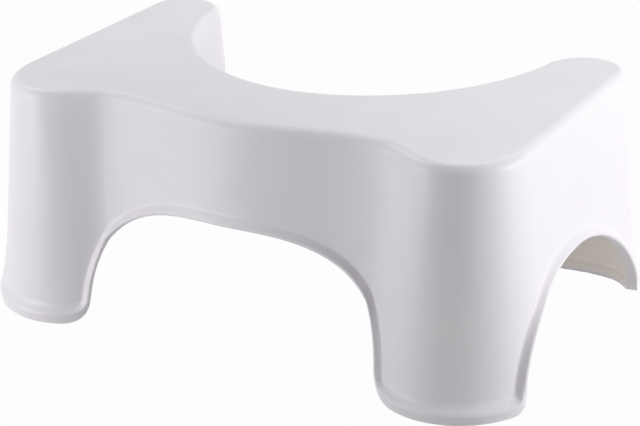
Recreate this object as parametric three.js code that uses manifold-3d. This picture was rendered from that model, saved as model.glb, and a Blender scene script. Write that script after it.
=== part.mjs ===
// Toilet footstool: one moulded shell with a U shaped bay at the rear, standing on eight rubber pads.
// Millimetres, +X to the right as seen from the front, +Y to the rear, +Z up.
// The origin is the middle of the footprint, on the floor.

import * as THREE from 'three';
import Module from 'manifold-3d';
import { mergeVertices } from 'three/addons/utils/BufferGeometryUtils.js';

const DEGREE = Math.PI / 180;

// Overall sizes
const HEIGHT = 177;
const WALL = 3.2;
const DECK_THICKNESS = 3.4;

// Deck outline, right half, as the sharp corner of deck plane and wall
const REAR_HALF_WIDTH = 205.2;
const FRONT_HALF_WIDTH = 203;
const DECK_DEPTH = 252.5;
const LEG_SWELL_FROM_SIDE = 44;
const HOLLOW_FROM_LEG_SWELL = 49.5;
const HOLLOW_DEPTH = 20.5;
const MIDDLE_SWELL_SETBACK = 7.5;
const FRONT_CORNER_LENGTH = 50;
const HORN_SHOULDER_LENGTH = 29;
const HORN_WIDTH = 60.5;
const HORN_TIP_FROM_SIDE = 28.5;
const BAY_MOUTH_SETBACK = 27.5;
const BAY_FLANK_HALF_WIDTH = 83.5;
const BAY_FLANK_SETBACK = 135;
const BAY_DEPTH = 165.5;
const HOLLOW_HEADING = -8 * DEGREE;
const BAY_MOUTH_HEADING = -100 * DEGREE;
const BAY_FLANK_HEADING = -142 * DEGREE;

// Walls lean outward from the deck to the floor
const SIDE_LEAN = 18.5;
const REAR_LEAN = 0;
const REAR_LEAN_POWER = 1.3;
const DECK_EDGE_RADIUS = 6.5;
const INNER_FILLET = 4;

// Rim turned outward round the arches: how far up its root and crest are, and how proud and round it is
const RIM_ROOT = 6.9;
const RIM_CREST = 2.9;
const RIM_PROUD = 4.3;
const RIM_ROUND = 2.2;
const RIM_BEND = 1.4;

// Under the feet the rim widens into a hem that flares out to its crest and turns back to the floor
const HEM_ROOT = 15.2;
const HEM_CREST = 7.8;
const HEM_PROUD = 4.7;
const HEM_EDGE_PROUD = 2.9;
const HEM_ROUND = 0.6;
const HEM_BEND = 2;
const HEM_RAMP = 9;
const CORNER_FLARE_SHARE = 0.94;
const HEM_BOTTOM = 1;
const HEM_BEAD = 2.8;
const HEM_BEAD_HEIGHT = 5;
const HEM_BEAD_TOP = 9;
const BEAD_ROOT = 0.7;

// Openings, measured along the deck outline and up from the floor; a slant is how far a limb leans at the foot
const FRONT_ARCH_HALF_SPAN = 131;
const FRONT_ARCH_HEIGHT = 102.7;
const FRONT_ARCH_POWER = 2.4;
const FRONT_ARCH_SLANT = 9.5 * DEGREE;
const FRONT_FOOT_INNER_RADIUS = 21;
const FRONT_FOOT_OUTER_RADIUS = 8;
const SIDE_ARCH_PEAK_FROM_CORNER = 66;
const SIDE_ARCH_FRONT_SPAN = 86;
const SIDE_ARCH_REAR_SPAN = 109;
const SIDE_ARCH_HEIGHT = 86;
const SIDE_ARCH_FRONT_POWER = 2.8;
const SIDE_ARCH_REAR_POWER = 1.7;
const SIDE_ARCH_FRONT_SLANT = 7 * DEGREE;
const SIDE_ARCH_REAR_SLANT = 2 * DEGREE;
const REAR_FOOT_OUTER_RADIUS = 8;
const REAR_FOOT_INNER_RADIUS = 14;
const REAR_FOOT_PAST_TIP = 48;
const REAR_ARCH_HEIGHT = 98;
const REAR_ARCH_POWER = 2.8;
const REAR_ARCH_SLANT = 0;

// Stiffening ribs under the deck
const RIB_THICKNESS = 2.4;
const RIB_DEPTH = 16;
const RIB_PITCH = 44;

// Rubber pads set in grooves under the feet
const PAD_LENGTH = 20;
const PAD_WIDTH = 5;
const PAD_HEIGHT = 2.6;
const PAD_SPACING = 24;
const PAD_CLEARANCE = 0.3;

// How finely curves are divided
const FRONT_ARCH_STEPS = 14;
const SIDE_ARCH_STEPS = 9;
const REAR_ARCH_STEPS = 17;
const CORNER_STEPS = 4;
const FOOT_STEPS = 8;
const SKIN_ROWS = 5;
const INNER_ROWS = 4;
const EDGE_ROUND_STEPS = 4;
const INNER_ROUND_STEPS = 2;
const FLARE_STEPS = 3;
const RIM_ROUND_STEPS = 2;
const PAD_STEPS = 6;
const PAD_END_STEPS = 4;
const CORE_STEPS = 90;

const wasm = await Module();
wasm.setup();

const mix = (from, to, share) => from + (to - from) * share;
const smooth = (share) => share * share * (3 - 2 * share);
const clamp01 = (value) => Math.min(1, Math.max(0, value));

// Handle length of a smooth curve that leaves at one angle to its chord and arrives at another
function handleShare(leave, arrive) {
  const root2 = Math.SQRT2;
  const root5 = Math.sqrt(5);
  const lift = root2 * (Math.sin(leave) - Math.sin(arrive) / 16) * (Math.sin(arrive) - Math.sin(leave) / 16);
  const top = 2 + lift * (Math.cos(leave) - Math.cos(arrive));
  const bottom = 1 + ((root5 - 1) * Math.cos(leave) + (3 - root5) * Math.cos(arrive)) / 2;
  return top / (3 * bottom);
}

// One smooth stretch between two points that each have a heading
function stretch(start, end) {
  const chord = new THREE.Vector2(end.x - start.x, end.y - start.y);
  const length = chord.length();
  const direction = Math.atan2(chord.y, chord.x);
  const turn = (angle) => Math.atan2(Math.sin(angle), Math.cos(angle));
  const leave = turn(start.heading - direction);
  const arrive = turn(direction - end.heading);
  const first = length * handleShare(leave, arrive);
  const second = length * handleShare(arrive, leave);
  return new THREE.CubicBezierCurve(
    new THREE.Vector2(start.x, start.y),
    new THREE.Vector2(start.x + first * Math.cos(start.heading), start.y + first * Math.sin(start.heading)),
    new THREE.Vector2(end.x - second * Math.cos(end.heading), end.y - second * Math.sin(end.heading)),
    new THREE.Vector2(end.x, end.y),
  );
}

// Right half of the deck outline, from the middle of the front round to the middle of the bay
const legSwellX = FRONT_HALF_WIDTH - LEG_SWELL_FROM_SIDE;
const legSwellY = 0;
const hornTipY = DECK_DEPTH;
const sideStart = { x: FRONT_HALF_WIDTH, y: legSwellY + FRONT_CORNER_LENGTH };
const sideEnd = { x: REAR_HALF_WIDTH, y: hornTipY - HORN_SHOULDER_LENGTH };
const sideHeading = Math.atan2(sideEnd.y - sideStart.y, sideEnd.x - sideStart.x);
const outlinePoints = [
  { x: 0, y: legSwellY + MIDDLE_SWELL_SETBACK, heading: 0 },
  { x: legSwellX - HOLLOW_FROM_LEG_SWELL, y: legSwellY + HOLLOW_DEPTH, heading: HOLLOW_HEADING },
  { x: legSwellX, y: legSwellY, heading: 0 },
  { ...sideStart, heading: sideHeading },
  { ...sideEnd, heading: sideHeading },
  { x: REAR_HALF_WIDTH - HORN_TIP_FROM_SIDE, y: hornTipY, heading: Math.PI },
  { x: REAR_HALF_WIDTH - HORN_WIDTH, y: hornTipY - BAY_MOUTH_SETBACK, heading: BAY_MOUTH_HEADING },
  { x: BAY_FLANK_HALF_WIDTH, y: hornTipY - BAY_FLANK_SETBACK, heading: BAY_FLANK_HEADING },
  { x: 0, y: hornTipY - BAY_DEPTH, heading: -Math.PI },
];
const halfOutline = new THREE.CurvePath();
outlinePoints.slice(1).forEach((point, i) => halfOutline.add(stretch(outlinePoints[i], point)));
const halfLength = halfOutline.getLength();
const stretchEnds = halfOutline.getCurveLengths();
const sideStartAlong = stretchEnds[2];
const hornTipAlong = stretchEnds[4];

// Point of the outline and outward direction at a distance along it, negative on the left half
function outlineAt(along) {
  const side = along < 0 ? -1 : 1;
  const share = clamp01(Math.abs(along) / halfLength);
  const point = halfOutline.getPoint(share);
  const tangent = halfOutline.getTangent(share);
  const onAxis = share === 0 || share === 1;
  const across = onAxis ? 0 : tangent.y * side;
  const outward = onAxis ? -Math.sign(tangent.x) : -tangent.x;
  return { x: point.x * side, y: point.y, outX: across, outY: outward };
}

// Point on the wall at a distance along the outline and a level, standing proud of the skin
function wallPoint(along, level, proud) {
  const at = outlineAt(along);
  const lean = SIDE_LEAN - (SIDE_LEAN - REAR_LEAN) * Math.max(0, at.outY) ** REAR_LEAN_POWER;
  const out = lean * (HEIGHT - level) / HEIGHT + proud;
  return new THREE.Vector3(at.x + at.outX * out, at.y + at.outY * out, level);
}

// Where the feet stand along the outline
const sidePeakAlong = sideStartAlong + SIDE_ARCH_PEAK_FROM_CORNER;
const frontFoot = {
  start: FRONT_ARCH_HALF_SPAN,
  end: sidePeakAlong - SIDE_ARCH_FRONT_SPAN,
  startRadius: FRONT_FOOT_INNER_RADIUS,
  endRadius: FRONT_FOOT_OUTER_RADIUS,
  startSlant: FRONT_ARCH_SLANT,
  endSlant: SIDE_ARCH_FRONT_SLANT,
};
const rearFoot = {
  start: sidePeakAlong + SIDE_ARCH_REAR_SPAN,
  end: hornTipAlong + REAR_FOOT_PAST_TIP,
  startRadius: REAR_FOOT_OUTER_RADIUS,
  endRadius: REAR_FOOT_INNER_RADIUS,
  startSlant: SIDE_ARCH_REAR_SLANT,
  endSlant: REAR_ARCH_SLANT,
};
const flatStart = (foot) => foot.start + foot.startRadius * Math.cos(foot.startSlant);
const flatEnd = (foot) => foot.end - foot.endRadius * Math.cos(foot.endSlant);
const flatMiddle = (foot) => (flatStart(foot) + flatEnd(foot)) / 2;

// Half of an arch, from its springing at a foot to its peak: a rounded power curve whose limb slants at the foot
class ArchCurve extends THREE.Curve {
  constructor(springing, peak, base, height, power, slant) {
    super();
    const slantShare = Math.tan(slant) * (height - base) / Math.abs(peak - springing);
    Object.assign(this, { springing, peak, base, height, power, slantShare });
  }

  getPoint(share, target = new THREE.Vector2()) {
    const angle = share * Math.PI / 2;
    const rise = Math.sin(angle) ** (2 / this.power);
    const toPeak = mix(1 - Math.cos(angle) ** (2 / this.power), rise, this.slantShare);
    return target.set(mix(this.springing, this.peak, toPeak), mix(this.base, this.height, rise));
  }
}

function halfArch(springing, peak, radius, slant, height, power, steps) {
  const curve = new ArchCurve(springing, peak, HEM_BOTTOM + radius * (1 - Math.sin(slant)), height, power, slant);
  return curve.getSpacedPoints(steps).map((point) => ({ along: point.x, level: point.y, flare: 0 }));
}

// Underside of a foot with its two rounded corners, and how far its hem flares
function footEdge(foot) {
  const start = flatStart(foot);
  const end = flatEnd(foot);
  const spread = HEM_ROOT - RIM_ROOT;
  const cornerFlare = (radius) => clamp01((radius * CORNER_FLARE_SHARE - RIM_ROOT) / spread);
  const corner = (centre, radius, slant, side) => Array.from({ length: CORNER_STEPS }, (_, i) => {
    const share = i / CORNER_STEPS;
    const angle = mix(slant, Math.PI / 2, share);
    return {
      along: centre - side * radius * Math.cos(angle),
      level: HEM_BOTTOM + radius * (1 - Math.sin(angle)),
      flare: cornerFlare(radius) * Math.sin(share * Math.PI / 2) ** 3,
    };
  });
  const floor = [];
  for (let i = 0; i <= FOOT_STEPS; i++) {
    const along = mix(start, end, i / FOOT_STEPS);
    const fromStart = smooth(clamp01((along - start) / HEM_RAMP));
    const fromEnd = smooth(clamp01((end - along) / HEM_RAMP));
    const rise = Math.min(
      mix(cornerFlare(foot.startRadius), 1, fromStart),
      mix(cornerFlare(foot.endRadius), 1, fromEnd),
    );
    floor.push({ along, level: HEM_BOTTOM, flare: rise });
  }
  return [
    ...corner(start, foot.startRadius, foot.startSlant, 1),
    ...floor,
    ...corner(end, foot.endRadius, foot.endSlant, -1).reverse(),
  ];
}

// Lower edge of the right half, from the middle of the front to the middle of the bay
const frontArch = halfArch(frontFoot.start, 0, frontFoot.startRadius, FRONT_ARCH_SLANT, FRONT_ARCH_HEIGHT,
  FRONT_ARCH_POWER, FRONT_ARCH_STEPS);
const sideArchFront = halfArch(frontFoot.end, sidePeakAlong, frontFoot.endRadius, SIDE_ARCH_FRONT_SLANT,
  SIDE_ARCH_HEIGHT, SIDE_ARCH_FRONT_POWER, SIDE_ARCH_STEPS);
const sideArchRear = halfArch(rearFoot.start, sidePeakAlong, rearFoot.startRadius, SIDE_ARCH_REAR_SLANT,
  SIDE_ARCH_HEIGHT, SIDE_ARCH_REAR_POWER, SIDE_ARCH_STEPS);
const rearArch = halfArch(rearFoot.end, halfLength, rearFoot.endRadius, REAR_ARCH_SLANT, REAR_ARCH_HEIGHT,
  REAR_ARCH_POWER, REAR_ARCH_STEPS);
const rightEdge = [
  ...frontArch.slice(1).reverse(),
  ...footEdge(frontFoot),
  ...sideArchFront.slice(1, -1),
  ...sideArchRear.slice(1).reverse(),
  ...footEdge(rearFoot),
  ...rearArch.slice(1),
];

// Direction into the skin at each point of the lower edge, and its place under the deck edge
rightEdge.forEach((point, i) => {
  const before = rightEdge[Math.max(0, i - 1)];
  const after = rightEdge[Math.min(rightEdge.length - 1, i + 1)];
  const atMiddle = i === 0 || i === rightEdge.length - 1;
  const run = after.along - before.along;
  const climb = atMiddle ? 0 : after.level - before.level;
  const length = Math.hypot(run, climb);
  point.intoAlong = -climb / length;
  point.intoLevel = run / length;
});
const travelled = [0];
rightEdge.slice(1).forEach((point, i) => {
  const before = rightEdge[i];
  travelled.push(travelled[i] + Math.hypot(point.along - before.along, point.level - before.level));
});
const frontFootMiddle = (frontFoot.start + frontFoot.end) / 2;
const rearFootMiddle = (rearFoot.start + rearFoot.end) / 2;
const anchors = [0, frontFootMiddle, sidePeakAlong, rearFootMiddle, halfLength].map((along) => {
  let nearest = 0;
  rightEdge.forEach((point, i) => {
    if (Math.abs(point.along - along) < Math.abs(rightEdge[nearest].along - along)) nearest = i;
  });
  return nearest;
});
anchors.slice(1).forEach((end, k) => {
  const start = anchors[k];
  for (let i = start; i <= end; i++) {
    const share = (travelled[i] - travelled[start]) / (travelled[end] - travelled[start]);
    rightEdge[i].topAlong = mix(rightEdge[start].along, rightEdge[end].along, share);
  }
});

// Whole lower edge, anticlockwise as seen from above
const leftEdge = rightEdge.slice(1, -1).reverse().map((point) => ({
  ...point,
  along: -point.along,
  topAlong: -point.topAlong,
  intoAlong: -point.intoAlong,
}));
const lowerEdge = [...rightEdge, ...leftEdge];

// Section through the rim from the skin, under the edge and up to the inner wall, with a bead inside the hem:
// each point has its reach from the edge and how proud it stands
function rimSection(flare) {
  const root = mix(RIM_ROOT, HEM_ROOT, flare);
  const crest = mix(RIM_CREST, HEM_CREST, flare);
  const crestProud = mix(RIM_PROUD, HEM_PROUD, flare);
  const bend = mix(RIM_BEND, HEM_BEND, flare);
  const round = mix(RIM_ROUND, HEM_ROUND, flare);
  const edgeProud = mix(RIM_PROUD, HEM_EDGE_PROUD, flare);
  const section = [];
  for (let i = 0; i <= FLARE_STEPS; i++) {
    const share = i / FLARE_STEPS;
    section.push({ reach: mix(root, crest, share), proud: crestProud * share ** bend });
  }
  for (let i = 0; i <= RIM_ROUND_STEPS; i++) {
    const angle = i / RIM_ROUND_STEPS * Math.PI / 2;
    section.push({ reach: round * (1 - Math.sin(angle)), proud: edgeProud - round * (1 - Math.cos(angle)) });
  }
  section.push({ reach: 0, proud: -WALL - HEM_BEAD * flare });
  section.push({ reach: mix(BEAD_ROOT, HEM_BEAD_HEIGHT, flare), proud: -WALL - HEM_BEAD * flare });
  section.push({ reach: mix(2 * BEAD_ROOT, HEM_BEAD_TOP, flare), proud: -WALL });
  return section;
}

// Rings of the shell from the deck, down the skin, round the rim and up the inside
function shellRings() {
  const rings = [];
  const ring = (place) => rings.push(lowerEdge.map(place));
  const ceiling = HEIGHT - DECK_THICKNESS;
  for (let i = 0; i <= EDGE_ROUND_STEPS; i++) {
    const angle = i / EDGE_ROUND_STEPS * Math.PI / 2;
    const inset = DECK_EDGE_RADIUS * (1 - Math.sin(angle));
    const level = HEIGHT - DECK_EDGE_RADIUS * (1 - Math.cos(angle));
    ring((edge) => wallPoint(edge.topAlong, level, -inset));
  }
  const skinTop = HEIGHT - DECK_EDGE_RADIUS;
  for (let i = 1; i < SKIN_ROWS; i++) {
    const share = i / SKIN_ROWS;
    ring((edge) => {
      const root = rimSection(edge.flare)[0].reach;
      const along = mix(edge.topAlong, edge.along + root * edge.intoAlong, share);
      return wallPoint(along, mix(skinTop, edge.level + root * edge.intoLevel, share), 0);
    });
  }
  rimSection(0).forEach((_, i) => ring((edge) => {
    const { reach, proud } = rimSection(edge.flare)[i];
    return wallPoint(edge.along + reach * edge.intoAlong, edge.level + reach * edge.intoLevel, proud);
  }));
  const innerTop = ceiling - INNER_FILLET;
  for (let i = 1; i < INNER_ROWS; i++) {
    const share = i / INNER_ROWS;
    ring((edge) => {
      const foot = rimSection(edge.flare).at(-1).reach;
      const along = mix(edge.along + foot * edge.intoAlong, edge.topAlong, share);
      return wallPoint(along, mix(edge.level + foot * edge.intoLevel, innerTop, share), -WALL);
    });
  }
  for (let i = 0; i <= INNER_ROUND_STEPS; i++) {
    const angle = i / INNER_ROUND_STEPS * Math.PI / 2;
    const inset = WALL + INNER_FILLET * (1 - Math.cos(angle));
    ring((edge) => wallPoint(edge.topAlong, innerTop + INNER_FILLET * Math.sin(angle), -inset));
  }
  return rings;
}

// Closed mesh through a stack of rings, with a flat cap on the first and the last
function ringGeometry(rings) {
  const count = rings[0].length;
  const positions = rings.flat().flatMap((point) => [point.x, point.y, point.z]);
  const index = [];
  for (let k = 0; k + 1 < rings.length; k++) {
    for (let i = 0; i < count; i++) {
      const next = (i + 1) % count;
      const upper = k * count;
      const lower = upper + count;
      index.push(upper + i, lower + i, upper + next, upper + next, lower + i, lower + next);
    }
  }
  const last = (rings.length - 1) * count;
  const flat = (ring) => ring.map((point) => new THREE.Vector2(point.x, point.y));
  THREE.ShapeUtils.triangulateShape(flat(rings[0]), []).forEach(([a, b, c]) => index.push(a, b, c));
  THREE.ShapeUtils.triangulateShape(flat(rings.at(-1)), [])
    .forEach(([a, b, c]) => index.push(last + a, last + c, last + b));
  const geometry = new THREE.BufferGeometry();
  geometry.setAttribute('position', new THREE.Float32BufferAttribute(positions, 3));
  geometry.setIndex(index);
  return geometry;
}

function toSolid(geometry) {
  const bare = geometry.clone();
  bare.deleteAttribute('normal');
  bare.deleteAttribute('uv');
  const merged = mergeVertices(bare);
  return new wasm.Manifold(new wasm.Mesh({
    numProp: 3,
    vertProperties: new Float32Array(merged.attributes.position.array),
    triVerts: new Uint32Array(merged.index.array),
  }));
}

function toGeometry(solid) {
  const mesh = solid.getMesh();
  const geometry = new THREE.BufferGeometry();
  geometry.setAttribute('position', new THREE.Float32BufferAttribute(mesh.vertProperties, mesh.numProp));
  geometry.setIndex(Array.from(mesh.triVerts));
  geometry.computeVertexNormals();
  return geometry;
}

// Space under the deck that the ribs fill, reaching half way into the walls and the deck
function ribSpace() {
  const ceiling = HEIGHT - DECK_THICKNESS;
  const levels = [
    { level: HEIGHT - DECK_THICKNESS / 2, inset: (WALL + INNER_FILLET) / 2 },
    { level: ceiling - INNER_FILLET, inset: WALL / 2 },
    { level: ceiling - RIB_DEPTH, inset: WALL / 2 },
  ];
  const places = Array.from({ length: 2 * CORE_STEPS }, (_, i) => mix(-halfLength, halfLength, i / 2 / CORE_STEPS));
  return toSolid(ringGeometry(levels.map(({ level, inset }) => (
    places.map((along) => wallPoint(along, level, -inset))
  ))));
}

// Grid of upright plates across the whole stool, one of them on the middle line
function ribPlates() {
  const reachX = REAR_HALF_WIDTH + SIDE_LEAN;
  const middleY = DECK_DEPTH / 2;
  const reachY = middleY + SIDE_LEAN;
  const level = HEIGHT - DECK_THICKNESS - RIB_DEPTH / 2;
  const depth = 2 * RIB_DEPTH;
  const plates = [];
  for (let x = 0; x < reachX; x += RIB_PITCH) {
    const sides = x === 0 ? [0] : [-x, x];
    sides.forEach((at) => {
      plates.push(new THREE.BoxGeometry(RIB_THICKNESS, 2 * reachY, depth).translate(at, middleY, level));
    });
  }
  for (let y = legSwellY + HOLLOW_DEPTH + RIB_PITCH / 2; y < hornTipY; y += RIB_PITCH) {
    plates.push(new THREE.BoxGeometry(2 * reachX, RIB_THICKNESS, depth).translate(0, y, level));
  }
  return wasm.Manifold.union(plates.map(toSolid));
}

// Outline of a pad on the floor, along the middle of the hem and grown by a clearance
function padShape(middle, clearance) {
  const hemMiddle = (HEM_EDGE_PROUD - HEM_ROUND - WALL - HEM_BEAD) / 2;
  const radius = PAD_WIDTH / 2 + clearance;
  const halfStraight = (PAD_LENGTH - PAD_WIDTH) / 2;
  const points = [];
  const add = (along, proud) => {
    const at = wallPoint(along, HEM_BOTTOM, proud);
    points.push(new THREE.Vector2(at.x, at.y));
  };
  for (let i = 0; i <= PAD_STEPS; i++) {
    add(mix(middle - halfStraight, middle + halfStraight, i / PAD_STEPS), hemMiddle + radius);
  }
  for (let i = 1; i < PAD_END_STEPS; i++) {
    const angle = i / PAD_END_STEPS * Math.PI;
    add(middle + halfStraight + radius * Math.sin(angle), hemMiddle + radius * Math.cos(angle));
  }
  for (let i = 0; i <= PAD_STEPS; i++) {
    add(mix(middle + halfStraight, middle - halfStraight, i / PAD_STEPS), hemMiddle - radius);
  }
  for (let i = 1; i < PAD_END_STEPS; i++) {
    const angle = i / PAD_END_STEPS * Math.PI;
    add(middle - halfStraight - radius * Math.sin(angle), hemMiddle - radius * Math.cos(angle));
  }
  return new THREE.Shape(points);
}

// A pad stands on the floor and a groove that takes it is cut a clearance larger
function padGeometry(middle) {
  return new THREE.ExtrudeGeometry(padShape(middle, 0), { depth: PAD_HEIGHT, bevelEnabled: false });
}

function grooveGeometry(middle) {
  const depth = PAD_HEIGHT + PAD_CLEARANCE;
  return new THREE.ExtrudeGeometry(padShape(middle, PAD_CLEARANCE), { depth, bevelEnabled: false });
}

const footPads = [
  { name: 'front_right', along: flatMiddle(frontFoot) },
  { name: 'rear_right', along: flatMiddle(rearFoot) },
  { name: 'rear_left', along: -flatMiddle(rearFoot) },
  { name: 'front_left', along: -flatMiddle(frontFoot) },
];
const padPlaces = footPads.flatMap(({ name, along }) => {
  const outer = Math.sign(along) * PAD_SPACING / 2;
  return [
    { name: `pad_${name}_a`, along: along - outer },
    { name: `pad_${name}_b`, along: along + outer },
  ];
});

// The shell: moulded walls and deck, ribs joined in, grooves cut out
function buildShell() {
  const body = toSolid(ringGeometry(shellRings()));
  const ribs = ribPlates().intersect(ribSpace());
  const grooves = wasm.Manifold.union(padPlaces.map(({ along }) => toSolid(grooveGeometry(along))));
  return toGeometry(body.add(ribs).subtract(grooves));
}

const polypropylene = () => new THREE.MeshStandardMaterial({ color: 0xeceaee, roughness: 0.45, metalness: 0 });
const rubber = () => new THREE.MeshStandardMaterial({ color: 0xb4b5b8, roughness: 0.85, metalness: 0 });

const group = new THREE.Group();
const shell = new THREE.Mesh(buildShell(), polypropylene());
shell.name = 'stool_shell';
group.add(shell);
padPlaces.forEach(({ name, along }) => {
  const pad = new THREE.Mesh(padGeometry(along), rubber());
  pad.name = name;
  group.add(pad);
});

// Put the origin in the middle of the footprint
const box = new THREE.Box3().setFromObject(shell);
const footprintMiddle = (box.min.y + box.max.y) / 2;
group.children.forEach((piece) => piece.position.setY(-footprintMiddle));

export default group;
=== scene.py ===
"""Toilet footstool: one moulded shell with a U shaped bay at the rear, standing on eight rubber pads."""

import math

import bmesh
import bpy
import numpy as np
from mathutils import Matrix, Vector


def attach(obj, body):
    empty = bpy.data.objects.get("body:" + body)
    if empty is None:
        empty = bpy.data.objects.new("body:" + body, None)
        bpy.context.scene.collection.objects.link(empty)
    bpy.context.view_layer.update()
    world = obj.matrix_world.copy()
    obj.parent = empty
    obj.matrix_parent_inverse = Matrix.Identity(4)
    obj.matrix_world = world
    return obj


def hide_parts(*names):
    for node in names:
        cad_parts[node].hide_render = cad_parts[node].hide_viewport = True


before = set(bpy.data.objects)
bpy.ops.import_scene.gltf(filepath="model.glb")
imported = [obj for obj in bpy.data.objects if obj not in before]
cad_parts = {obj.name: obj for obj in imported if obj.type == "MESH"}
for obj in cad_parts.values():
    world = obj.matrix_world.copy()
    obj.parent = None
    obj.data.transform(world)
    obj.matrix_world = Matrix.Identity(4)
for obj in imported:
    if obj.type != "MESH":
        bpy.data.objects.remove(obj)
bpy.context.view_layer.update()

MM = 0.001

# Sizes in millimetres, as in the part's own source
HEIGHT = 177
WALL = 3.2
DECK_THICKNESS = 3.4
REAR_HALF_WIDTH = 205.2
FRONT_HALF_WIDTH = 203
DECK_DEPTH = 252.5
LEG_SWELL_FROM_SIDE = 44
HOLLOW_FROM_LEG_SWELL = 49.5
HOLLOW_DEPTH = 20.5
MIDDLE_SWELL_SETBACK = 7.5
FRONT_CORNER_LENGTH = 50
HORN_SHOULDER_LENGTH = 29
HORN_WIDTH = 60.5
HORN_TIP_FROM_SIDE = 28.5
BAY_MOUTH_SETBACK = 27.5
BAY_FLANK_HALF_WIDTH = 83.5
BAY_FLANK_SETBACK = 135
BAY_DEPTH = 165.5
HOLLOW_HEADING = math.radians(-8)
BAY_MOUTH_HEADING = math.radians(-100)
BAY_FLANK_HEADING = math.radians(-142)
SIDE_LEAN = 18.5
REAR_LEAN = 0
REAR_LEAN_POWER = 1.3
DECK_EDGE_RADIUS = 6.5
INNER_FILLET = 4
RIM_ROOT = 6.9
RIM_CREST = 2.9
RIM_PROUD = 4.3
RIM_ROUND = 2.2
RIM_BEND = 1.4
LIP_ROUND = 0.5
HEM_ROOT = 15.2
HEM_CREST = 7.8
HEM_PROUD = 4.7
HEM_EDGE_PROUD = 2.9
HEM_ROUND = 0.6
HEM_BEND = 2
HEM_SHOULDER_ROUND = 1.6
SHOULDER_SHARE = 0.9
HEM_RAMP = 9
HEM_TURN_START = 10
HEM_TURN_TOP = 30
HEM_TURN_FADE = 10
HEM_TURN_EASINGS = 3
HEM_BOTTOM = 1
HEM_BEAD = 2.8
HEM_BEAD_HEIGHT = 5
HEM_BEAD_TOP = 9
BEAD_ROOT = 0.7
FRONT_ARCH_HALF_SPAN = 131
FRONT_ARCH_HEIGHT = 102.7
FRONT_ARCH_POWER = 2.4
FRONT_ARCH_SLANT = math.radians(9.5)
FRONT_FOOT_INNER_RADIUS = 21
FRONT_FOOT_OUTER_RADIUS = 8
SIDE_ARCH_PEAK_FROM_CORNER = 66
SIDE_ARCH_FRONT_SPAN = 86
SIDE_ARCH_REAR_SPAN = 109
SIDE_ARCH_HEIGHT = 86
SIDE_ARCH_FRONT_POWER = 2.8
SIDE_ARCH_REAR_POWER = 1.7
SIDE_ARCH_FRONT_SLANT = math.radians(7)
SIDE_ARCH_REAR_SLANT = math.radians(2)
REAR_FOOT_OUTER_RADIUS = 8
REAR_FOOT_INNER_RADIUS = 14
REAR_FOOT_PAST_TIP = 48
REAR_ARCH_HEIGHT = 98
REAR_ARCH_POWER = 2.8
REAR_ARCH_SLANT = 0
RIB_THICKNESS = 2.4
RIB_DEPTH = 16
RIB_PITCH = 44
RIB_DRAFT = 0.25
RIB_EDGE_ROUND = 0.6
RIB_OVERLAP = 1
PAD_LENGTH = 20
PAD_WIDTH = 5
PAD_HEIGHT = 2.6
PAD_SPACING = 24
PAD_CLEARANCE = 0.3
PAD_EDGE_ROUND = 0.4
PAD_FACE_HOLD = 0.6
# The deck's grain fades in over the rounding, between these depths below the deck
GRAIN_FADE_START = 4
GRAIN_FADE_END = 0.5

# How finely curves are divided
ARC_SAMPLES = 4000
FRONT_ARCH_STEPS = 84
SIDE_ARCH_STEPS = 64
REAR_ARCH_STEPS = 64
CORNER_STEPS = 12
FOOT_STEPS = 36
SKIN_ROWS = 26
INNER_ROWS = 12
EDGE_ROUND_STEPS = 12
INNER_ROUND_STEPS = 5
FLARE_STEPS = 10
RIM_ROUND_STEPS = 5
BEAD_ROWS = 6
RIB_SPACE_POINTS = 720
PAD_STRAIGHT_POINTS = 25
PAD_TURN_STEPS = 16
# Width of a flat ring inside the deck's edge, in millimetres, which keeps the rounding apart from the flat
DECK_HOLD = 0.6
# Columns of points leave the rim upright, and the higher this is, the later they lean to their places
LEAVE_RIM_POWER = 1.3
# Edges sharper than these stay creases where the rest is shaded smooth
CREASE_DEGREES = 50
RIB_CREASE_DEGREES = 30

# Words used below: along is the distance along the deck's outline from the middle of the front, level the
# height above the floor, proud the distance off the skin, reach the distance from the lower edge into the
# skin, and flare how far the rim is widened into the hem, from 0 to 1.


def mix(start, end, share):
    return start + (end - start) * share


def smooth(share):
    return share * share * (3 - 2 * share)


def travelled_along(across, up):
    """Distance travelled from the first point of a line to each of its points."""
    return np.concatenate([[0], np.cumsum(np.hypot(np.diff(across), np.diff(up)))])


# ---- The deck outline


def within_half_turn(angle):
    return math.atan2(math.sin(angle), math.cos(angle))


def handle_share(leave, arrive):
    """Handle length of a smooth curve that leaves at one angle to its chord and arrives at another."""
    lift = (
        math.sqrt(2)
        * (math.sin(leave) - math.sin(arrive) / 16)
        * (math.sin(arrive) - math.sin(leave) / 16)
    )
    top = 2 + lift * (math.cos(leave) - math.cos(arrive))
    bottom = 1 + ((math.sqrt(5) - 1) * math.cos(leave) + (3 - math.sqrt(5)) * math.cos(arrive)) / 2
    return top / (3 * bottom)


def stretch(start, end):
    """Points along one smooth stretch between two points that each have a heading."""
    (x0, y0, heading0), (x1, y1, heading1) = start, end
    chord = math.hypot(x1 - x0, y1 - y0)
    direction = math.atan2(y1 - y0, x1 - x0)
    leave, arrive = within_half_turn(heading0 - direction), within_half_turn(direction - heading1)
    first, second = chord * handle_share(leave, arrive), chord * handle_share(arrive, leave)
    handles = np.array([
        (x0, y0),
        (x0 + first * math.cos(heading0), y0 + first * math.sin(heading0)),
        (x1 - second * math.cos(heading1), y1 - second * math.sin(heading1)),
        (x1, y1),
    ])
    t = np.linspace(0, 1, ARC_SAMPLES)[:, None]
    return (
        (1 - t) ** 3 * handles[0]
        + 3 * (1 - t) ** 2 * t * handles[1]
        + 3 * (1 - t) * t**2 * handles[2]
        + t**3 * handles[3]
    )


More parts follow.
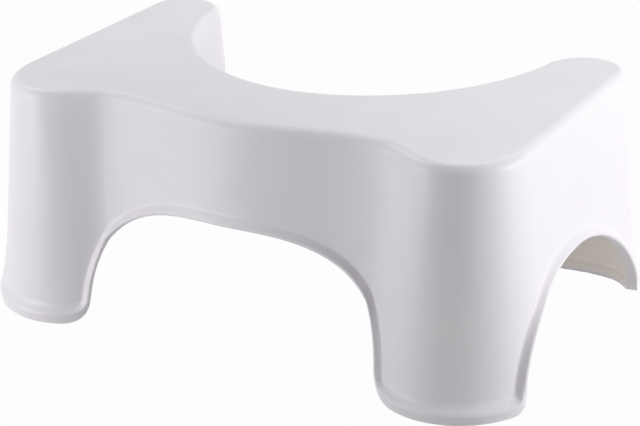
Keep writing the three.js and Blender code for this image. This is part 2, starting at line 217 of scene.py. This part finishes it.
LEG_SWELL_X = FRONT_HALF_WIDTH - LEG_SWELL_FROM_SIDE
HORN_TIP_Y = DECK_DEPTH
side_start = (FRONT_HALF_WIDTH, FRONT_CORNER_LENGTH)
side_end = (REAR_HALF_WIDTH, HORN_TIP_Y - HORN_SHOULDER_LENGTH)
side_heading = math.atan2(side_end[1] - side_start[1], side_end[0] - side_start[0])
outline_points = [
    (0, MIDDLE_SWELL_SETBACK, 0),
    (LEG_SWELL_X - HOLLOW_FROM_LEG_SWELL, HOLLOW_DEPTH, HOLLOW_HEADING),
    (LEG_SWELL_X, 0, 0),
    (*side_start, side_heading),
    (*side_end, side_heading),
    (REAR_HALF_WIDTH - HORN_TIP_FROM_SIDE, HORN_TIP_Y, math.pi),
    (REAR_HALF_WIDTH - HORN_WIDTH, HORN_TIP_Y - BAY_MOUTH_SETBACK, BAY_MOUTH_HEADING),
    (BAY_FLANK_HALF_WIDTH, HORN_TIP_Y - BAY_FLANK_SETBACK, BAY_FLANK_HEADING),
    (0, HORN_TIP_Y - BAY_DEPTH, -math.pi),
]
stretches = [stretch(a, b) for a, b in zip(outline_points, outline_points[1:])]
outline = np.vstack([stretches[0]] + [s[1:] for s in stretches[1:]])
outline_along = travelled_along(*outline.T)
half_length = outline_along[-1]
stretch_ends = outline_along[[(i + 1) * (ARC_SAMPLES - 1) for i in range(len(stretches))]]
side_start_along, horn_tip_along = stretch_ends[2], stretch_ends[4]
outline_tangent = np.gradient(outline, outline_along, axis=0)


def wall_points(along, level, proud):
    """Points on the wall at distances along the outline and levels, standing proud of the skin."""
    along, level, proud = np.broadcast_arrays(*[np.asarray(v, float) for v in (along, level, proud)])
    side = np.where(along < 0, -1.0, 1.0)
    at = np.minimum(np.abs(along), half_length)
    x, y = (np.interp(at, outline_along, outline[:, k]) for k in (0, 1))
    tx, ty = (np.interp(at, outline_along, outline_tangent[:, k]) for k in (0, 1))
    size = np.hypot(tx, ty)
    on_axis = (at == 0) | (at == half_length)
    out_x = np.where(on_axis, 0, ty / size * side)
    out_y = np.where(on_axis, -np.sign(tx), -tx / size)
    lean = SIDE_LEAN - (SIDE_LEAN - REAR_LEAN) * np.maximum(0, out_y) ** REAR_LEAN_POWER
    out = lean * (HEIGHT - level) / HEIGHT + proud
    return np.stack([x * side + out_x * out, y + out_y * out, level], axis=-1)


# ---- The lower edge: arches and feet

side_peak_along = side_start_along + SIDE_ARCH_PEAK_FROM_CORNER
# A foot's springings along the outline, the radii of its corners and the slants of its limbs
front_foot = (
    FRONT_ARCH_HALF_SPAN,
    side_peak_along - SIDE_ARCH_FRONT_SPAN,
    FRONT_FOOT_INNER_RADIUS,
    FRONT_FOOT_OUTER_RADIUS,
    FRONT_ARCH_SLANT,
    SIDE_ARCH_FRONT_SLANT,
)
rear_foot = (
    side_peak_along + SIDE_ARCH_REAR_SPAN,
    horn_tip_along + REAR_FOOT_PAST_TIP,
    REAR_FOOT_OUTER_RADIUS,
    REAR_FOOT_INNER_RADIUS,
    SIDE_ARCH_REAR_SLANT,
    REAR_ARCH_SLANT,
)


def flat_ends(foot):
    """Where the flat underside of a foot starts and ends along the outline."""
    start, end, start_radius, end_radius, start_slant, end_slant = foot
    return start + start_radius * math.cos(start_slant), end - end_radius * math.cos(end_slant)


def half_arch(springing, peak, radius, slant, height, power, steps):
    """Half of an arch from a foot to its peak, as evenly spaced rows of along, level and flare."""
    angle = np.linspace(0, math.pi / 2, ARC_SAMPLES)
    base = HEM_BOTTOM + radius * (1 - math.sin(slant))
    slant_share = math.tan(slant) * (height - base) / abs(peak - springing)
    rise = np.sin(angle) ** (2 / power)
    to_peak = mix(1 - np.maximum(np.cos(angle), 0) ** (2 / power), rise, slant_share)
    to_peak[-1] = 1
    along = mix(springing, peak, to_peak)
    level = mix(base, height, rise)
    travelled = travelled_along(along, level)
    even = np.linspace(0, travelled[-1], steps + 1)
    return np.stack(
        [np.interp(even, travelled, along), np.interp(even, travelled, level), np.zeros(steps + 1)], axis=1
    )


def foot_edge(foot):
    """Underside of a foot with its two rounded corners, where the rim flares into the hem."""
    start_radius, end_radius, start_slant, end_slant = foot[2:]
    flat_start, flat_end = flat_ends(foot)
    share = np.arange(CORNER_STEPS) / CORNER_STEPS

    def corner(centre, radius, slant, side):
        angle = mix(slant, math.pi / 2, share)
        along, level = centre - side * radius * np.cos(angle), HEM_BOTTOM + radius * (1 - np.sin(angle))
        return np.stack([along, level, np.ones_like(angle)], axis=1)

    along = np.linspace(flat_start, flat_end, FOOT_STEPS + 1)
    floor = np.stack([along, np.full_like(along, HEM_BOTTOM), np.ones_like(along)], axis=1)
    return np.vstack([
        corner(flat_start, start_radius, start_slant, 1),
        floor,
        corner(flat_end, end_radius, end_slant, -1)[::-1],
    ])


front_arch = half_arch(
    front_foot[0], 0, front_foot[2], FRONT_ARCH_SLANT, FRONT_ARCH_HEIGHT, FRONT_ARCH_POWER, FRONT_ARCH_STEPS
)
side_arch_front = half_arch(
    front_foot[1], side_peak_along, front_foot[3], SIDE_ARCH_FRONT_SLANT, SIDE_ARCH_HEIGHT,
    SIDE_ARCH_FRONT_POWER, SIDE_ARCH_STEPS,
)
side_arch_rear = half_arch(
    rear_foot[0], side_peak_along, rear_foot[2], SIDE_ARCH_REAR_SLANT, SIDE_ARCH_HEIGHT,
    SIDE_ARCH_REAR_POWER, SIDE_ARCH_STEPS,
)
rear_arch = half_arch(
    rear_foot[1], half_length, rear_foot[3], REAR_ARCH_SLANT, REAR_ARCH_HEIGHT, REAR_ARCH_POWER,
    REAR_ARCH_STEPS,
)
right_edge = np.vstack([
    front_arch[1:][::-1],
    foot_edge(front_foot),
    side_arch_front[1:-1],
    side_arch_rear[1:][::-1],
    foot_edge(rear_foot),
    rear_arch[1:],
])


def with_directions(edge):
    """Adds the direction into the skin, and the place under the deck's edge that a point's column runs to."""
    along, level, flare = edge.T
    run, climb = np.gradient(along), np.gradient(level)
    climb[[0, -1]] = 0
    size = np.hypot(run, climb)
    travelled = travelled_along(along, level)
    middles = [0, (front_foot[0] + front_foot[1]) / 2, side_peak_along, (rear_foot[0] + rear_foot[1]) / 2]
    anchors = [int(np.argmin(np.abs(along - m))) for m in (*middles, half_length)]
    top = np.interp(travelled, travelled[anchors], along[anchors])
    return np.stack([along, level, flare, -climb / size, run / size, top], axis=1)


def turned_up(edge, foot, at_end):
    """Keeps the hem at full height into a foot's corner, and turns it up into the rim of the limb there."""
    side, radius = (1, foot[3]) if at_end else (-1, foot[2])
    past = (edge[:, 0] - flat_ends(foot)[at_end]) * side
    near = (past >= -HEM_RAMP) & (past < HEM_RAMP + 2 * radius) & (edge[:, 1] < HEM_TURN_TOP)
    rows = np.flatnonzero(near)[::side]
    along, level, _, into_along, into_level, top = edge[rows].T
    travelled = travelled_along(along, level)
    turn_start = min(HEM_TURN_START, HEM_BOTTOM + radius)
    on_limb = level >= turn_start
    # Where the rim of the limb would end on the skin, and the height at which the hem ends there
    rim_along, rim_level = along + RIM_ROOT * into_along, level + RIM_ROOT * into_level
    hem_level = HEM_BOTTOM + HEM_ROOT

    def limb_line(at_level):
        return np.interp(at_level, rim_level[on_limb], rim_along[on_limb])

    up_limb = np.clip((level - turn_start) / (level[-1] - turn_start), 0, 1)
    to_limb = np.clip(travelled / travelled[on_limb][0], 0, 1)
    root_level = mix(hem_level, rim_level[-1], up_limb)
    root_along = np.where(on_limb, limb_line(root_level), mix(along[0], limb_line(hem_level), to_limb))
    for values in (root_along, root_level):
        for _ in range(HEM_TURN_EASINGS):
            values[1:-1] = (values[:-2] + 2 * values[1:-1] + values[2:]) / 4
    flare = 1 - smooth(np.clip((level - turn_start) / HEM_TURN_FADE, 0, 1))
    root = mix(RIM_ROOT, HEM_ROOT, flare)
    turned = edge.copy()
    turned[rows] = np.stack(
        [along, level, flare, (root_along - along) / root, (root_level - level) / root, top], axis=1
    )
    return turned


right_edge = with_directions(right_edge)
for foot in (front_foot, rear_foot):
    for at_end in (False, True):
        right_edge = turned_up(right_edge, foot, at_end)
left_edge = right_edge[1:-1][::-1] * np.array([-1, 1, 1, -1, 1, -1])
lower_edge = np.vstack([right_edge, left_edge])


# ---- The shell


def rim_section(flare):
    """Rim from the skin, under the edge and up the inside, as rows of reach and proud."""
    flare = np.asarray(flare, float)
    root, crest = mix(RIM_ROOT, HEM_ROOT, flare), mix(RIM_CREST, HEM_CREST, flare)
    crest_proud, edge_proud = mix(RIM_PROUD, HEM_PROUD, flare), mix(RIM_PROUD, HEM_EDGE_PROUD, flare)
    bend, rounding = mix(RIM_BEND, HEM_BEND, flare), mix(RIM_ROUND, HEM_ROUND, flare)
    inner = -WALL - HEM_BEAD * flare
    quarter = np.arange(RIM_ROUND_STEPS + 1) / RIM_ROUND_STEPS * math.pi / 2
    # The crest between the flank and the face below it is rounded off
    ease = np.minimum(HEM_SHOULDER_ROUND, (crest - rounding) * SHOULDER_SHARE)
    before = ease / (root - crest)
    after = ease / (crest - rounding)
    flank_end = (crest + ease, crest_proud * (1 - before) ** bend)
    face_start = (crest - ease, mix(crest_proud, edge_proud, after))
    section = [
        (mix(root, crest, share * (1 - before)), crest_proud * (share * (1 - before)) ** bend)
        for share in np.linspace(0, 1, FLARE_STEPS + 1)
    ]
    for share in np.linspace(0, 1, RIM_ROUND_STEPS + 1)[1:]:
        weights = (1 - share) ** 2, 2 * share * (1 - share), share**2
        section.append(tuple(
            weights[0] * start + weights[1] * corner + weights[2] * end
            for start, corner, end in zip(flank_end, (crest, crest_proud), face_start)
        ))
    section += [
        (rounding * (1 - math.sin(a)), edge_proud - rounding * (1 - math.cos(a)))
        for a in quarter
    ]
    edge = edge_proud - rounding
    section += [(0, mix(edge, inner + LIP_ROUND, share)) for share in (1 / 3, 2 / 3)]
    section += [
        (LIP_ROUND * (1 - math.cos(a)), inner + LIP_ROUND * (1 - math.sin(a)))
        for a in quarter
    ]
    bead_low, bead_high = mix(BEAD_ROOT, HEM_BEAD_HEIGHT, flare), mix(2 * BEAD_ROOT, HEM_BEAD_TOP, flare)
    section += [
        (mix(bead_low, bead_high, share), mix(inner, -WALL, smooth(share)))
        for share in np.linspace(0, 1, BEAD_ROWS)
    ]
    return [tuple(np.broadcast_to(value, flare.shape) for value in point) for point in section]


def shell_rings():
    """Rings of the shell, down the skin, round the rim and up the inside, with a mark for those inside."""
    along, level, flare, into_along, into_level, top = lower_edge.T

    def climb(start, end_level, share, proud):
        """A ring between rim and deck, whose points leave the rim upright and lean to their places."""
        leaned = share**LEAVE_RIM_POWER
        return wall_points(
            mix(along + start * into_along, top, leaned),
            mix(level + start * into_level, end_level, share),
            proud,
        )

    rings = [wall_points(top, HEIGHT, -DECK_EDGE_RADIUS - DECK_HOLD)]
    for i in range(EDGE_ROUND_STEPS + 1):
        angle = i / EDGE_ROUND_STEPS * math.pi / 2
        drop = DECK_EDGE_RADIUS * (1 - math.cos(angle))
        rings.append(wall_points(top, HEIGHT - drop, -DECK_EDGE_RADIUS * (1 - math.sin(angle))))
    section = rim_section(flare)
    root, skin_top = section[0][0], HEIGHT - DECK_EDGE_RADIUS
    for i in range(1, SKIN_ROWS):
        rings.append(climb(root, skin_top, 1 - i / SKIN_ROWS, 0))
    for reach, proud in section:
        rings.append(wall_points(along + reach * into_along, level + reach * into_level, proud))
    outside = len(rings) - BEAD_ROWS
    foot = section[-1][0]
    inner_top = HEIGHT - DECK_THICKNESS - INNER_FILLET
    for i in range(1, INNER_ROWS):
        rings.append(climb(foot, inner_top, i / INNER_ROWS, -WALL))
    for i in range(INNER_ROUND_STEPS + 1):
        angle = i / INNER_ROUND_STEPS * math.pi / 2
        inset = WALL + INNER_FILLET * (1 - math.cos(angle))
        rings.append(wall_points(top, inner_top + INNER_FILLET * math.sin(angle), -inset))
    rings.append(wall_points(top, HEIGHT - DECK_THICKNESS, -WALL - INNER_FILLET - DECK_HOLD))
    # The mark on the inner rings is used to paint warm bounce light on the inside of the shell
    inside = [0.0 if k < outside else 1.0 for k in range(len(rings))]
    return rings, inside


def mesh_of_rings(name, rings, marks=None):
    """Closed mesh through a stack of rings, with a flat face on the first and the last."""
    count = len(rings[0])
    points = np.vstack(rings)
    faces = []
    for k in range(len(rings) - 1):
        upper, lower = k * count, (k + 1) * count
        for i in range(count):
            j = (i + 1) % count
            faces.append((upper + i, lower + i, lower + j, upper + j))
    faces.append(tuple(range(count)))
    faces.append(tuple(reversed(range((len(rings) - 1) * count, len(rings) * count))))
    mesh = bpy.data.meshes.new(name)
    mesh.from_pydata((points * MM).tolist(), [], faces)
    if marks is not None:
        inside = mesh.attributes.new("inside", "FLOAT", "POINT")
        inside.data.foreach_set("value", np.repeat(marks, count).astype(np.float32))
    mesh.update()
    return mesh


def add_object(name, mesh):
    piece = bpy.data.objects.new(name, mesh)
    bpy.context.scene.collection.objects.link(piece)
    return piece


def applied(piece):
    """Gives the piece the mesh that its modifiers make, and takes the modifiers off."""
    graph = bpy.context.evaluated_depsgraph_get()
    mesh = bpy.data.meshes.new_from_object(piece.evaluated_get(graph))
    piece.modifiers.clear()
    piece.data = mesh
    return piece


def combine(piece, other, operation):
    """Joins, cuts or intersects the piece with the other one, which is then taken away."""
    modifier = piece.modifiers.new("combine", "BOOLEAN")
    modifier.operation, modifier.object, modifier.solver = operation, other, "EXACT"
    applied(piece)
    bpy.data.objects.remove(other)
    return piece


def shade_smooth(piece, crease_degrees):
    """Smooth shading that keeps creases sharper than the given angle."""
    mesh = piece.data
    mesh.shade_smooth()
    mesh.set_sharp_from_angle(angle=math.radians(crease_degrees))


# ---- The ribs under the deck


def rib_plate(half_length_mm, along_x, at, middle):
    """One upright plate that thins towards its rounded lower edge."""
    top, bottom = HEIGHT - DECK_THICKNESS + RIB_OVERLAP, HEIGHT - DECK_THICKNESS - RIB_DEPTH
    root, tip = RIB_THICKNESS / 2 + RIB_DRAFT, RIB_THICKNESS / 2
    profile = [(root, top), (tip, bottom + RIB_EDGE_ROUND)]
    profile += [(tip - RIB_EDGE_ROUND * (1 - math.cos(a)), bottom + RIB_EDGE_ROUND * (1 - math.sin(a)))
                for a in (math.pi / 6, math.pi / 3, math.pi / 2)]
    loop = profile + [(-x, z) for x, z in reversed(profile)]
    points = []
    for end in (-half_length_mm, half_length_mm):
        for across, z in loop:
            points.append((middle[0] + end, at + across, z) if along_x else (at + across, middle[1] + end, z))
    return points, len(loop)


def plates_object(name, plates):
    """One object that holds several separate plates."""
    shape = bmesh.new()
    for points, count in plates:
        corners = [shape.verts.new(Vector(p) * MM) for p in points]
        near, far = corners[:count], corners[count:]
        shape.faces.new(near)
        shape.faces.new(far[::-1])
        for i in range(count):
            j = (i + 1) % count
            shape.faces.new((near[j], near[i], far[i], far[j]))
    bmesh.ops.recalc_face_normals(shape, faces=shape.faces)
    mesh = bpy.data.meshes.new(name)
    shape.to_mesh(mesh)
    shape.free()
    return add_object(name, mesh)


def make_ribs():
    """Grid of ribs that fills the space between the deck and the walls."""
    reach_x, middle_y = REAR_HALF_WIDTH + SIDE_LEAN, DECK_DEPTH / 2
    reach_y = middle_y + SIDE_LEAN
    across = []
    x = 0
    while x < reach_x:
        across += [rib_plate(reach_y, False, at, (0, middle_y)) for at in ({x, -x})]
        x += RIB_PITCH
    lengthways = []
    y = HOLLOW_DEPTH + RIB_PITCH / 2
    while y < HORN_TIP_Y:
        lengthways.append(rib_plate(reach_x, True, y, (0, middle_y)))
        y += RIB_PITCH
    ribs = combine(plates_object("ribs", across), plates_object("lengthways", lengthways), "UNION")
    ceiling = HEIGHT - DECK_THICKNESS
    places = np.linspace(-half_length, half_length, RIB_SPACE_POINTS + 1)[:-1]
    space = [
        wall_points(places, HEIGHT - DECK_THICKNESS / 2, -(WALL + INNER_FILLET) / 2),
        wall_points(places, ceiling - INNER_FILLET, -WALL / 2),
        wall_points(places, ceiling - RIB_DEPTH - RIB_OVERLAP, -WALL / 2),
    ]
    return combine(ribs, add_object("rib_space", mesh_of_rings("rib_space", space)), "INTERSECT")


# ---- The pads


def pad_outline(middle, clearance):
    """Outline of a pad on the floor, along the middle of the hem and grown by a clearance."""
    hem_middle = (HEM_EDGE_PROUD - HEM_ROUND - WALL - HEM_BEAD) / 2
    radius = PAD_WIDTH / 2 + clearance
    half_straight = (PAD_LENGTH - PAD_WIDTH) / 2
    straight = np.linspace(-half_straight, half_straight, PAD_STRAIGHT_POINTS)
    turn = np.linspace(0, math.pi, PAD_TURN_STEPS + 1)[1:-1]
    along = np.concatenate([
        straight, half_straight + radius * np.sin(turn), -straight, -half_straight - radius * np.sin(turn)
    ])
    across = np.concatenate([
        np.full_like(straight, radius), radius * np.cos(turn),
        np.full_like(straight, -radius), -radius * np.cos(turn),
    ])
    return wall_points(middle + along, HEM_BOTTOM, hem_middle + across)


def pad_mesh(name, middle, clearance, height, edge_round):
    """A pad, or the groove that takes it, with rounded lower and upper edges."""
    def ring(inset, level):
        points = pad_outline(middle, clearance - inset)
        points[:, 2] = level
        return points

    levels = [(edge_round * (1 - math.cos(a)), height - edge_round * (1 - math.sin(a)))
              for a in (math.pi / 2, math.pi / 4, 0)]
    levels += [(edge_round * (1 - math.cos(a)), edge_round * (1 - math.sin(a)))
               for a in (0, math.pi / 4, math.pi / 2)]
    face_inset = edge_round + PAD_FACE_HOLD
    rings = [ring(face_inset, height)] + [ring(*point) for point in levels] + [ring(face_inset, 0)]
    return mesh_of_rings(name, rings)


def flat_middle(foot):
    return sum(flat_ends(foot)) / 2


def pad_places():
    feet = [
        ("front_right", flat_middle(front_foot)),
        ("rear_right", flat_middle(rear_foot)),
        ("rear_left", -flat_middle(rear_foot)),
        ("front_left", -flat_middle(front_foot)),
    ]
    for foot, along in feet:
        outer = math.copysign(PAD_SPACING / 2, along)
        yield f"pad_{foot}_a", along - outer
        yield f"pad_{foot}_b", along + outer


# ---- Materials


def linear(hex_colour):
    """Linear colour of an sRGB hex value."""
    values = [int(hex_colour[i : i + 2], 16) / 255 for i in (1, 3, 5)]
    return (*[v / 12.92 if v <= 0.04045 else ((v + 0.055) / 1.055) ** 2.4 for v in values], 1)


def add(tree, kind, inputs=None, **settings):
    """Adds one node with its settings, values and links."""
    node = tree.nodes.new(kind)
    for name, value in settings.items():
        setattr(node, name, value)
    for name, value in (inputs or {}).items():
        socket = node.inputs[name]
        if isinstance(value, bpy.types.NodeSocket):
            tree.links.new(value, socket)
        else:
            socket.default_value = value
    return node


def per_metre(size_mm):
    """Texture scale whose features are this many millimetres across."""
    return 1 / (size_mm * MM)


def moulded_polypropylene():
    """Injection moulded polypropylene: milky white, satin, with the fine grain of an eroded mould, and
    painted warm bounce light on the inside.
    """
    material = bpy.data.materials.new("moulded_polypropylene")
    material.use_nodes = True
    tree = material.node_tree
    tree.nodes.clear()
    place = add(tree, "ShaderNodeTexCoord").outputs["Object"]
    # Patches a few centimetres wide where the melt cooled at its own pace
    clouds = add(tree, "ShaderNodeTexNoise", {"Vector": place, "Scale": per_metre(45), "Detail": 2.0})
    tone = add(
        tree, "ShaderNodeMix",
        {"Factor": clouds.outputs["Fac"], "A": linear("#EFECF1"), "B": linear("#EAE7ED")},
        data_type="RGBA",
    )
    # Painted warm bounce light: the inside is coloured warmer and lighter than the outside to stand in for
    # the warm light that falls in its shade; the plastic is the same
    inside = add(tree, "ShaderNodeAttribute", attribute_name="inside")
    colour = add(
        tree, "ShaderNodeMix",
        {"Factor": inside.outputs["Fac"], "A": tone.outputs["Result"], "B": linear("#FAF4EF")},
        data_type="RGBA",
    )
    gloss = add(
        tree, "ShaderNodeMapRange",
        {"Value": clouds.outputs["Fac"], "From Min": 0.3, "From Max": 0.7, "To Min": 0.40, "To Max": 0.50},
    )
    # Leather grain etched into the deck's half of the mould, in wrinkles about 4 mm across
    spot = add(tree, "ShaderNodeSeparateXYZ", {"Vector": place})
    on_deck = add(
        tree, "ShaderNodeMapRange",
        {
            "Value": spot.outputs["Z"],
            "From Min": (HEIGHT - GRAIN_FADE_START) * MM,
            "From Max": (HEIGHT - GRAIN_FADE_END) * MM,
        },
    )
    drift = add(tree, "ShaderNodeTexNoise", {"Vector": place, "Scale": per_metre(6), "Detail": 3.0})
    bent = add(
        tree, "ShaderNodeMix", {"Factor": 0.012, "A": place, "B": drift.outputs["Color"]},
        data_type="VECTOR",
    )
    wrinkles = add(
        tree, "ShaderNodeTexVoronoi", {"Vector": bent.outputs["Result"], "Scale": per_metre(4.5)},
        feature="DISTANCE_TO_EDGE",
    )
    furrow = add(tree, "ShaderNodeMapRange", {"Value": wrinkles.outputs["Distance"], "From Max": 0.22})
    leather = add(
        tree, "ShaderNodeMath",
        {0: furrow.outputs["Result"], 1: on_deck.outputs["Result"]},
        operation="MULTIPLY",
    )
    # Gentle waviness of a large moulded wall, about 7 mm across
    peel = add(tree, "ShaderNodeTexNoise", {"Vector": place, "Scale": per_metre(7), "Detail": 2.0})
    waves = add(
        tree, "ShaderNodeBump", {"Height": peel.outputs["Fac"], "Distance": 0.05 * MM, "Strength": 0.6}
    )
    # Eroded grain is about 0.2 mm in the mould; drawn at 1.3 mm, since it would not show
    grain = add(
        tree, "ShaderNodeTexNoise",
        {"Vector": place, "Scale": per_metre(1.3), "Detail": 3.0, "Roughness": 0.6},
    )
    fine = add(
        tree, "ShaderNodeBump",
        {
            "Height": grain.outputs["Fac"],
            "Distance": 0.03 * MM,
            "Strength": 0.5,
            "Normal": waves.outputs["Normal"],
        },
    )
    relief = add(
        tree, "ShaderNodeBump",
        {
            "Height": leather.outputs[0],
            "Distance": 0.06 * MM,
            "Strength": 0.7,
            "Normal": fine.outputs["Normal"],
        },
    )
    plastic = add(
        tree, "ShaderNodeBsdfPrincipled",
        {
            "Base Color": colour.outputs["Result"],
            "Roughness": gloss.outputs["Result"],
            "Normal": relief.outputs["Normal"],
            "IOR": 1.49,
        },
    )
    add(tree, "ShaderNodeOutputMaterial", {"Surface": plastic.outputs["BSDF"]})
    return material


def pressed_rubber():
    """Compression moulded rubber: dull light grey, with a dusty uneven sheen."""
    material = bpy.data.materials.new("pressed_rubber")
    material.use_nodes = True
    tree = material.node_tree
    tree.nodes.clear()
    place = add(tree, "ShaderNodeTexCoord").outputs["Object"]
    dust = add(tree, "ShaderNodeTexNoise", {"Vector": place, "Scale": per_metre(6), "Detail": 4.0})
    colour = add(
        tree, "ShaderNodeMix",
        {"Factor": dust.outputs["Fac"], "A": linear("#B9BABD"), "B": linear("#AEAFB3")},
        data_type="RGBA",
    )
    dullness = add(
        tree, "ShaderNodeMapRange", {"Value": dust.outputs["Fac"], "To Min": 0.8, "To Max": 0.92}
    )
    grain = add(tree, "ShaderNodeTexNoise", {"Vector": place, "Scale": per_metre(0.5), "Detail": 2.0})
    relief = add(
        tree, "ShaderNodeBump", {"Height": grain.outputs["Fac"], "Distance": 0.05 * MM, "Strength": 0.5}
    )
    rubber = add(
        tree, "ShaderNodeBsdfPrincipled",
        {
            "Base Color": colour.outputs["Result"],
            "Roughness": dullness.outputs["Result"],
            "Normal": relief.outputs["Normal"],
            "IOR": 1.52,
        },
    )
    add(tree, "ShaderNodeOutputMaterial", {"Surface": rubber.outputs["BSDF"]})
    return material


# ---- The stool

plastic = moulded_polypropylene()
rubber = pressed_rubber()

rings, inside_marks = shell_rings()
shell = add_object("shell", mesh_of_rings("shell", rings, inside_marks))
for _, middle in pad_places():
    groove = pad_mesh("groove", middle, PAD_CLEARANCE, PAD_HEIGHT + PAD_CLEARANCE, PAD_EDGE_ROUND / 2)
    combine(shell, add_object("groove", groove), "DIFFERENCE")
shade_smooth(shell, CREASE_DEGREES)
ribs = make_ribs()
shade_smooth(ribs, RIB_CREASE_DEGREES)

# The origin is the middle of the shell's footprint
depths = np.array([v.co.y for v in shell.data.vertices])
footprint_middle = (depths.min() + depths.max()) / 2
to_origin = Matrix.Translation((0, -footprint_middle, 0))

pads = []
for pad_name, middle in pad_places():
    pad = add_object(f"{pad_name}_rubber", pad_mesh(pad_name, middle, 0, PAD_HEIGHT, PAD_EDGE_ROUND))
    shade_smooth(pad, CREASE_DEGREES)
    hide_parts(pad_name)
    pads.append(pad)
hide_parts("stool_shell")

for piece, material, slot in [(shell, plastic, "polypropylene"), (ribs, plastic, "polypropylene")] + [
    (pad, rubber, "rubber") for pad in pads
]:
    piece.data.transform(to_origin)
    piece.data.materials.clear()
    piece.data.materials.append(material)
    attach(piece, "root")

# ---- Floor, light and camera

STUDIO_WHITE = "#FFFEFF"
# Share of plain white in the paper as it is seen; the rest is the real paper with the stool's shadow
PAPER_WHITE_SHARE = 0.985
WORLD_LIGHT = 0.02
# Height above the floor that the lamps face, in millimetres, and half the floor's width, in metres
LIT_HEIGHT = 90
FLOOR_REACH = 6


def seen_directly(tree):
    """1 for what the camera sees, also by gloss or through glass, and 0 for light that falls on things."""
    path = add(tree, "ShaderNodeLightPath")
    glossy = add(
        tree, "ShaderNodeMath",
        {0: path.outputs["Is Camera Ray"], 1: path.outputs["Is Glossy Ray"]},
        operation="MAXIMUM",
    )
    either = add(
        tree, "ShaderNodeMath",
        {0: glossy.outputs[0], 1: path.outputs["Is Transmission Ray"]},
        operation="MAXIMUM",
    )
    return either.outputs[0]


def studio_floor():
    """Pale seamless paper, shown so nearly white that the shadow left in it can hardly be seen."""
    material = bpy.data.materials.new("studio_paper")
    material.use_nodes = True
    tree = material.node_tree
    tree.nodes.clear()
    paper = add(tree, "ShaderNodeBsdfDiffuse", {"Color": linear("#D8D7D6")})
    glow = add(tree, "ShaderNodeEmission", {"Color": linear(STUDIO_WHITE), "Strength": 1.0})
    share = add(
        tree, "ShaderNodeMath", {0: seen_directly(tree), 1: PAPER_WHITE_SHARE}, operation="MULTIPLY"
    )
    both = add(tree, "ShaderNodeMixShader", {0: share.outputs[0], 1: paper.outputs[0], 2: glow.outputs[0]})
    add(tree, "ShaderNodeOutputMaterial", {"Surface": both.outputs[0]})
    return material


def studio_world(strength):
    """White where it is seen, and a plain soft light where it falls on the stool."""
    world = bpy.data.worlds.new("studio")
    world.use_nodes = True
    tree = world.node_tree
    tree.nodes.clear()
    seen = add(tree, "ShaderNodeBackground", {"Color": linear(STUDIO_WHITE), "Strength": 1.0})
    light = add(tree, "ShaderNodeBackground", {"Color": linear("#FFFFFF"), "Strength": strength})
    both = add(tree, "ShaderNodeMixShader", {0: seen_directly(tree), 1: light.outputs[0], 2: seen.outputs[0]})
    add(tree, "ShaderNodeOutputWorld", {"Surface": both.outputs[0]})
    bpy.context.scene.world = world


def softbox(name, azimuth, elevation, distance, size, watts):
    """A square soft light at an azimuth from the front, round to the right, that faces the stool."""
    a, e = math.radians(azimuth), math.radians(elevation)
    direction = Vector((math.sin(a) * math.cos(e), -math.cos(a) * math.cos(e), math.sin(e)))
    data = bpy.data.lights.new(name, "AREA")
    data.shape, data.size, data.energy = "SQUARE", size, watts
    lamp = bpy.data.objects.new(name, data)
    bpy.context.scene.collection.objects.link(lamp)
    lamp.location = Vector((0, 0, LIT_HEIGHT * MM)) + direction * distance
    lamp.rotation_euler = direction.to_track_quat("Z", "Y").to_euler()
    lamp.visible_camera = False
    return lamp


floor_mesh = bpy.data.meshes.new("floor")
floor_corners = [(FLOOR_REACH * x, FLOOR_REACH * y, 0) for x, y in ((-1, -1), (1, -1), (1, 1), (-1, 1))]
floor_mesh.from_pydata(floor_corners, [], [(0, 1, 2, 3)])
floor = add_object("floor", floor_mesh)
floor.data.materials.append(studio_floor())
studio_world(WORLD_LIGHT)
# Azimuth and elevation in degrees, distance and size in metres, power in watts
softbox("right_softbox", 108, 6, 1.7, 0.85, 19.8)
softbox("left_softbox", -46, 6, 1.7, 0.85, 5.8)
softbox("near_left_softbox", -34, 6, 0.95, 0.48, 3.25)
softbox("upper_left_softbox", -90, 52, 0.95, 0.48, 2.5)
softbox("upper_right_softbox", 90, 52, 0.95, 0.48, 2.3)
softbox("upper_rear_softbox", 180, 52, 0.95, 0.48, 2.45)
softbox("front_fill", 64, 6, 1.7, 0.85, 2.5)

# The camera stands right of the front and looks down, as in the photograph
CAMERA_AZIMUTH, CAMERA_ELEVATION, CAMERA_ROLL = 29.198, 23.442, -0.773
CAMERA_DISTANCE, CAMERA_RIGHT, CAMERA_UP = 1283.2, 6.04, -23.26
AIM = (0, 6.5, 89.5)
PICTURE_WIDTH, FOCAL_PIXELS, SENSOR = 640, 1702.0, 36.0
azimuth, elevation, roll = (math.radians(v) for v in (CAMERA_AZIMUTH, CAMERA_ELEVATION, CAMERA_ROLL))
back = Vector((
    math.sin(azimuth) * math.cos(elevation), -math.cos(azimuth) * math.cos(elevation), math.sin(elevation)
))
level_right = Vector((math.cos(azimuth), math.sin(azimuth), 0))
level_up = back.cross(level_right)
right = level_right * math.cos(roll) + level_up * math.sin(roll)
up = -level_right * math.sin(roll) + level_up * math.cos(roll)
camera_data = bpy.data.cameras.new("camera")
camera_data.sensor_width = SENSOR
camera_data.lens = FOCAL_PIXELS / PICTURE_WIDTH * SENSOR
camera_data.clip_start, camera_data.clip_end = 0.05, 50
camera = bpy.data.objects.new("camera", camera_data)
bpy.context.scene.collection.objects.link(camera)
camera.rotation_mode = "QUATERNION"
camera.rotation_quaternion = Matrix((right, up, back)).transposed().to_quaternion()
camera.location = (Vector(AIM) + right * CAMERA_RIGHT + up * CAMERA_UP + back * CAMERA_DISTANCE) * MM
bpy.context.scene.camera = camera
bpy.context.scene.view_settings.view_transform = "Standard"
